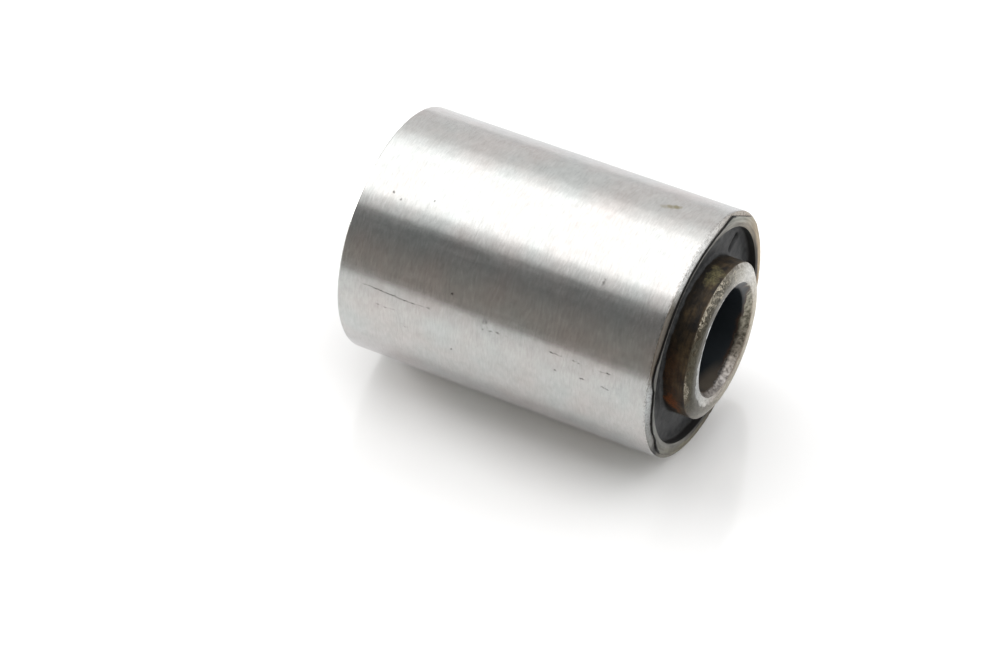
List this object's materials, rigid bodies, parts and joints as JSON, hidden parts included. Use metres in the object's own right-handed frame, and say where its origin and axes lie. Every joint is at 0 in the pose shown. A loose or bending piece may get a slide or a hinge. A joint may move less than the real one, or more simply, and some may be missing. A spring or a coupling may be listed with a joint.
{
  "type": "steering rod bushing",
  "caption": "Cylindrical rubber-bonded bushing: bright steel outer sleeve, recessed rubber with torn flash, and a thick bolt sleeve that stands out at both ends.",
  "frame": {"origin": "centre of the inner sleeve's lower end face, on the bore's axis", "axes": "+Z along the bore, up, towards the end with the torn flash; -Y is the side that faces up when the bushing lies on its side"},
  "size_m": [0.03, 0.03, 0.0454],
  "materials": {
    "turned_steel": "bright turned steel with fine rings round the axis",
    "bonded_rubber": "moulded black rubber, greyed where it is thin",
    "stained_steel": "dark stained steel with scraped ends and a little rust"
  },
  "bodies": {
    "root": {"outer_sleeve": "turned_steel", "rubber_bush": "bonded_rubber", "inner_sleeve": "stained_steel"}
  },
  "joints": []
}
